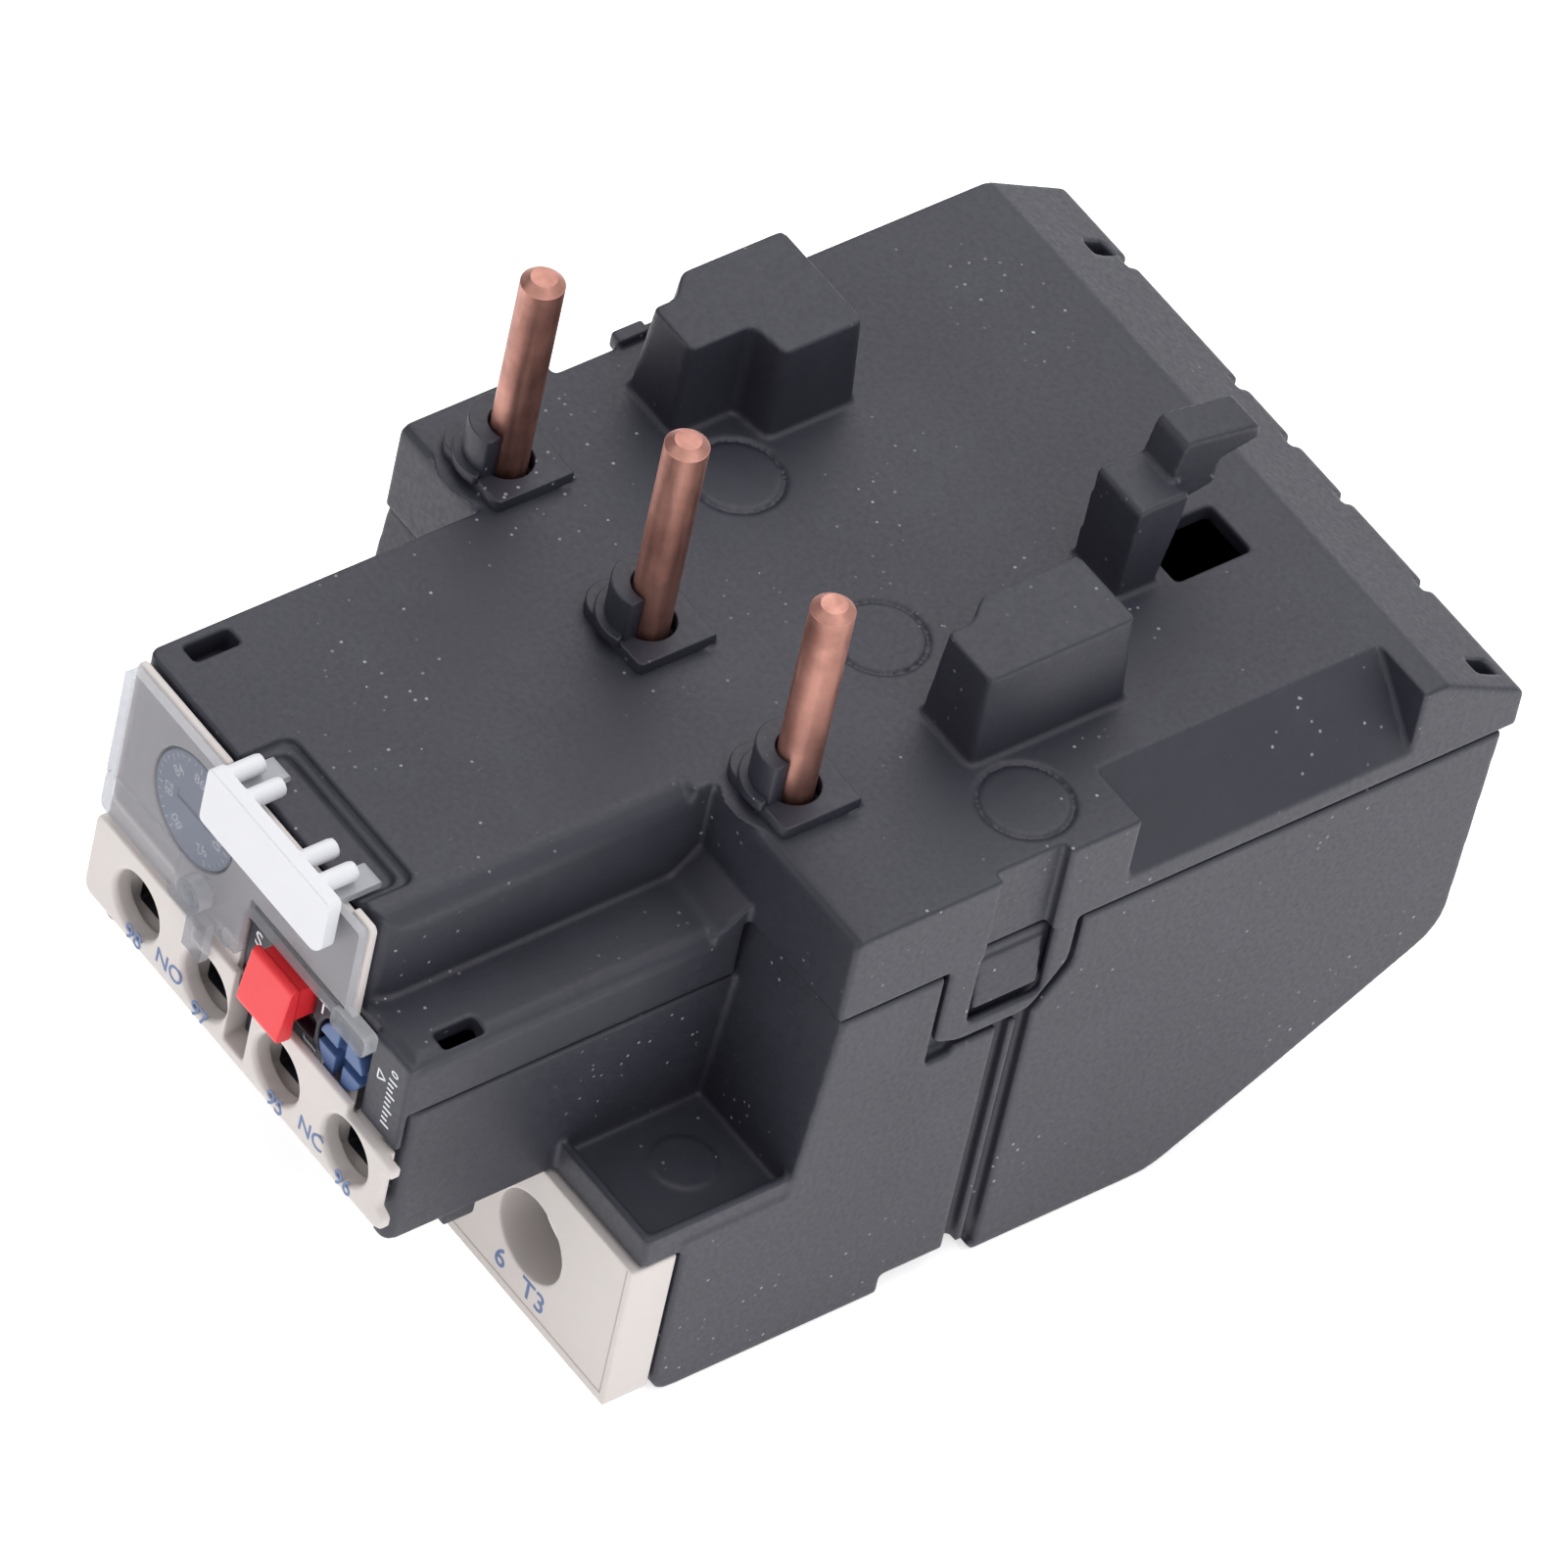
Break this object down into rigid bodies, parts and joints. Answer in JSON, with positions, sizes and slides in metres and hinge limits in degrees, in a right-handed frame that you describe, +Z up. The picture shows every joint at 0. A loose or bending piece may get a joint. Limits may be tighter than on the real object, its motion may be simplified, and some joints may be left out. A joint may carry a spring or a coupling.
{
  "type": "overload relay",
  "caption": "Three-pole thermal overload relay with copper plug-in pins, trip dial, stop and reset controls and screw terminals.",
  "frame": {"origin": "centre of the bounding box footprint, at the level of the feet", "axes": "+Z up along the plug-in pins, -Y towards the terminals and controls, +X across the poles to the right seen from the front"},
  "size_m": [0.07, 0.116, 0.0785],
  "materials": {
    "housing_black": "moulded black, fine grain",
    "cover_black": "moulded black, fine grain",
    "fascia_black": "smooth black",
    "beige_strip": "moulded beige",
    "beige_block": "moulded beige",
    "clear_plastic": "clear moulded cover",
    "white_plastic": "moulded white",
    "dial_plastic": "printed dial",
    "grey_plastic": "moulded grey",
    "red_plastic": "moulded red",
    "blue_plastic": "moulded blue",
    "tan_plastic": "phenolic",
    "copper": "bare copper",
    "brass_contact": "brass",
    "bimetal": "rolled strip",
    "heater_alloy": "resistance wire",
    "spring_steel": "wire",
    "zinc_steel": "zinc plated"
  },
  "bodies": {
    "housing": {"base_housing": "housing_black", "top_cover": "cover_black", "power_terminal_strip": "beige_strip", "aux_terminal_block": "beige_block", "front_fascia": "fascia_black", "trip_pivot": "spring_steel", "stop_spring": "spring_steel", "reset_spring": "spring_steel", "pin_1": "copper", "load_bar_1": "copper", "bimetal_1": "bimetal", "heater_1": "heater_alloy", "pin_2": "copper", "load_bar_2": "copper", "bimetal_2": "bimetal", "heater_2": "heater_alloy", "pin_3": "copper", "load_bar_3": "copper", "bimetal_3": "bimetal", "heater_3": "heater_alloy", "contact_98": "brass_contact", "contact_97": "brass_contact", "contact_95": "brass_contact", "contact_96": "brass_contact"},
    "cover": {"clear_cover": "clear_plastic", "label_holder": "white_plastic"},
    "dial": {"current_dial": "dial_plastic", "dial_cam": "grey_plastic"},
    "stop": {"stop_button": "red_plastic"},
    "reset_turn": {"reset_guide": "grey_plastic"},
    "reset": {"reset_knob": "blue_plastic"},
    "trip_slide": {"trip_slide": "tan_plastic"},
    "differential_slide": {"differential_slide": "tan_plastic"},
    "adjuster": {"adjusting_lever": "grey_plastic", "compensation_bimetal": "bimetal"},
    "rocker": {"trip_lever": "grey_plastic", "nc_bridge": "brass_contact", "no_bridge": "brass_contact"},
    "power_screw_1": {"power_screw_1": "zinc_steel"},
    "power_clamp_1": {"power_clamp_1": "zinc_steel"},
    "power_screw_2": {"power_screw_2": "zinc_steel"},
    "power_clamp_2": {"power_clamp_2": "zinc_steel"},
    "power_screw_3": {"power_screw_3": "zinc_steel"},
    "power_clamp_3": {"power_clamp_3": "zinc_steel"},
    "aux_terminal_98": {"aux_screw_98": "zinc_steel"},
    "aux_clamp_98": {"aux_clamp_98": "zinc_steel"},
    "aux_terminal_97": {"aux_screw_97": "zinc_steel"},
    "aux_clamp_97": {"aux_clamp_97": "zinc_steel"},
    "aux_terminal_95": {"aux_screw_95": "zinc_steel"},
    "aux_clamp_95": {"aux_clamp_95": "zinc_steel"},
    "aux_terminal_96": {"aux_screw_96": "zinc_steel"},
    "aux_clamp_96": {"aux_clamp_96": "zinc_steel"}
  },
  "joints": [
    {"name": "cover_hinge", "type": "hinge", "parent": "housing", "child": "cover", "pos_m": [0, -0.05105, 0.05325], "axis": [-1, 0, 0], "range_deg": [0, 95]},
    {"name": "dial_turn", "type": "hinge", "parent": "housing", "child": "dial", "pos_m": [-0.0122, -0.05545, 0.0441], "axis": [0, 1, 0], "range_deg": [0, 270]},
    {"name": "adjuster_pivot", "type": "hinge", "parent": "housing", "child": "adjuster", "pos_m": [-0.0122, -0.04305, 0.04], "axis": [0, 0, 1], "range_deg": [0, 2.7]},
    {"name": "stop_press", "type": "slide", "parent": "housing", "child": "stop", "axis": [0, 1, 0], "range_m": [0, 0.0015], "stiffness_N_per_m": 900, "springref_m": -0.001, "deforming": ["stop_spring"]},
    {"name": "reset_mode", "type": "hinge", "parent": "housing", "child": "reset_turn", "pos_m": [0.0123, -0.05145, 0.0359], "axis": [0, 1, 0], "range_deg": [0, 90]},
    {"name": "reset_press", "type": "slide", "parent": "reset_turn", "child": "reset", "axis": [0, 1, 0], "range_m": [0, 0.001], "stiffness_N_per_m": 900, "springref_m": -0.001, "deforming": ["reset_spring"]},
    {"name": "trip_travel", "type": "slide", "parent": "housing", "child": "trip_slide", "axis": [1, 0, 0], "range_m": [0, 0.003]},
    {"name": "differential_travel", "type": "slide", "parent": "housing", "child": "differential_slide", "axis": [1, 0, 0], "range_m": [0, 0.003]},
    {"name": "rocker_pivot", "type": "hinge", "parent": "housing", "child": "rocker", "pos_m": [0, -0.03005, 0.028], "axis": [0, 0, 1], "range_deg": [0, 6]},
    {"name": "power_screw_1_turn", "type": "hinge", "parent": "housing", "child": "power_screw_1", "pos_m": [-0.0228, -0.03245, 0.01045], "axis": [0, 1, 0], "range_deg": [0, 648]},
    {"name": "power_clamp_1_travel", "type": "slide", "parent": "housing", "child": "power_clamp_1", "axis": [0, -1, 0], "range_m": [0, 0.0018]},
    {"name": "power_screw_2_turn", "type": "hinge", "parent": "housing", "child": "power_screw_2", "pos_m": [-0.0008, -0.03245, 0.01045], "axis": [0, 1, 0], "range_deg": [0, 648]},
    {"name": "power_clamp_2_travel", "type": "slide", "parent": "housing", "child": "power_clamp_2", "axis": [0, -1, 0], "range_m": [0, 0.0018]},
    {"name": "power_screw_3_turn", "type": "hinge", "parent": "housing", "child": "power_screw_3", "pos_m": [0.0212, -0.03245, 0.01045], "axis": [0, 1, 0], "range_deg": [0, 648]},
    {"name": "power_clamp_3_travel", "type": "slide", "parent": "housing", "child": "power_clamp_3", "axis": [0, -1, 0], "range_m": [0, 0.0018]},
    {"name": "aux_screw_98_turn", "type": "hinge", "parent": "housing", "child": "aux_terminal_98", "pos_m": [-0.0162, -0.04945, 0.0279], "axis": [0, 1, 0], "range_deg": [0, 1080]},
    {"name": "aux_clamp_98_travel", "type": "slide", "parent": "housing", "child": "aux_clamp_98", "axis": [0, 1, 0], "range_m": [0, 0.0021]},
    {"name": "aux_screw_97_turn", "type": "hinge", "parent": "housing", "child": "aux_terminal_97", "pos_m": [-0.0056, -0.04945, 0.0279], "axis": [0, 1, 0], "range_deg": [0, 1080]},
    {"name": "aux_clamp_97_travel", "type": "slide", "parent": "housing", "child": "aux_clamp_97", "axis": [0, 1, 0], "range_m": [0, 0.0021]},
    {"name": "aux_screw_95_turn", "type": "hinge", "parent": "housing", "child": "aux_terminal_95", "pos_m": [0.0056, -0.04945, 0.0279], "axis": [0, 1, 0], "range_deg": [0, 1080]},
    {"name": "aux_clamp_95_travel", "type": "slide", "parent": "housing", "child": "aux_clamp_95", "axis": [0, 1, 0], "range_m": [0, 0.0021]},
    {"name": "aux_screw_96_turn", "type": "hinge", "parent": "housing", "child": "aux_terminal_96", "pos_m": [0.0162, -0.04945, 0.0279], "axis": [0, 1, 0], "range_deg": [0, 1080]},
    {"name": "aux_clamp_96_travel", "type": "slide", "parent": "housing", "child": "aux_clamp_96", "axis": [0, 1, 0], "range_m": [0, 0.0021]}
  ],
  "couplings": [
    {"joint": "adjuster_pivot", "follows": "dial_turn", "ratio": 0.01},
    {"joint": "differential_travel", "follows": "trip_travel", "ratio": 1},
    {"joint": "rocker_pivot", "follows": "trip_travel", "rad_per_m": 34},
    {"joint": "power_screw_1_turn", "follows": "power_clamp_1_travel", "rad_per_m": 6283.2},
    {"joint": "power_screw_2_turn", "follows": "power_clamp_2_travel", "rad_per_m": 6283.2},
    {"joint": "power_screw_3_turn", "follows": "power_clamp_3_travel", "rad_per_m": 6283.2},
    {"joint": "aux_screw_98_turn", "follows": "aux_clamp_98_travel", "rad_per_m": 8976},
    {"joint": "aux_screw_97_turn", "follows": "aux_clamp_97_travel", "rad_per_m": 8976},
    {"joint": "aux_screw_95_turn", "follows": "aux_clamp_95_travel", "rad_per_m": 8976},
    {"joint": "aux_screw_96_turn", "follows": "aux_clamp_96_travel", "rad_per_m": 8976}
  ]
}
